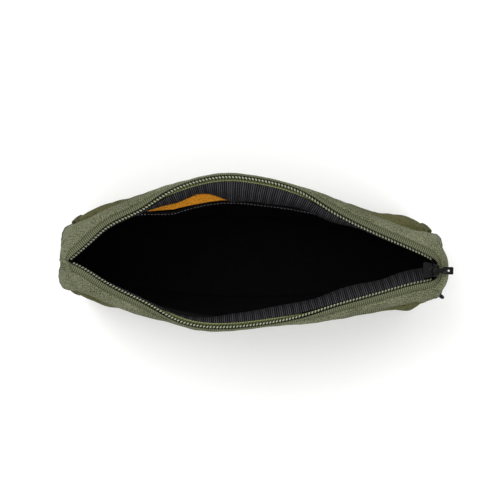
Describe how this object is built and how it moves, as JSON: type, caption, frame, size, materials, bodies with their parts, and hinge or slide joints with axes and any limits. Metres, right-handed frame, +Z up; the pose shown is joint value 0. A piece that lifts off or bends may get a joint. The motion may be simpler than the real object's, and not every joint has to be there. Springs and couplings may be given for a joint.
{
  "type": "cable organizer pouch",
  "caption": "Small woven zip pouch standing on its base with its mouth open, lined, with a slip pocket and a sliding zip puller.",
  "frame": {"origin": "on the ground, under the middle of the pouch's base", "axes": "+X from the zip's closed end to its slider, +Y to the back wall, +Z up, out of the mouth"},
  "size_m": [0.1744, 0.0702, 0.0954],
  "materials": {
    "outer_fabric": "olive woven nylon, matt",
    "zip_tape": "olive woven tape",
    "zip_coil": "olive nylon coil, satin",
    "black_ribbed": "black ribbed grosgrain",
    "black_lining": "black nylon lining, matt",
    "orange_lining": "orange nylon lining",
    "black_metal": "black lacquered die casting, satin"
  },
  "bodies": {
    "pouch": {"front_panel": "outer_fabric", "back_panel": "outer_fabric", "left_gusset": "outer_fabric", "right_gusset": "outer_fabric", "base_panel": "outer_fabric", "front_lining": "black_lining", "back_lining": "orange_lining", "left_lining": "black_lining", "right_lining": "black_lining", "base_lining": "black_lining", "slip_pocket": "black_lining", "pocket_hem": "black_lining", "zip_end_stop": "outer_fabric", "side_tab": "black_ribbed"},
    "front_lip": {"front_top_strip": "outer_fabric", "front_zip_tape": "zip_tape", "front_coil": "zip_coil", "front_grosgrain": "black_ribbed"},
    "back_lip": {"back_top_strip": "outer_fabric", "back_zip_tape": "zip_tape", "back_coil": "zip_coil", "back_grosgrain": "black_ribbed"},
    "slider": {"slider_body": "black_metal"},
    "puller": {"zip_puller": "black_metal"}
  },
  "joints": [
    {"name": "slider_travel", "type": "slide", "parent": "pouch", "child": "slider", "axis": [-1, 0, 0], "range_m": [0, 0.155]},
    {"name": "front_lip_close", "type": "slide", "parent": "pouch", "child": "front_lip", "axis": [0, 1, 0], "range_m": [0, 0.0266], "deforming": ["front_top_strip", "front_zip_tape", "front_coil", "front_grosgrain"]},
    {"name": "back_lip_close", "type": "slide", "parent": "pouch", "child": "back_lip", "axis": [0, -1, 0], "range_m": [0, 0.0382], "deforming": ["back_top_strip", "back_zip_tape", "back_coil", "back_grosgrain"]},
    {"name": "puller_swing", "type": "hinge", "parent": "slider", "child": "puller", "pos_m": [0.0806, -0.0042, 0.093], "axis": [0, 1, 0], "range_deg": [-180, 0]}
  ],
  "couplings": [
    {"joint": "front_lip_close", "follows": "slider_travel", "ratio": 0.1716},
    {"joint": "back_lip_close", "follows": "slider_travel", "ratio": 0.24643}
  ]
}
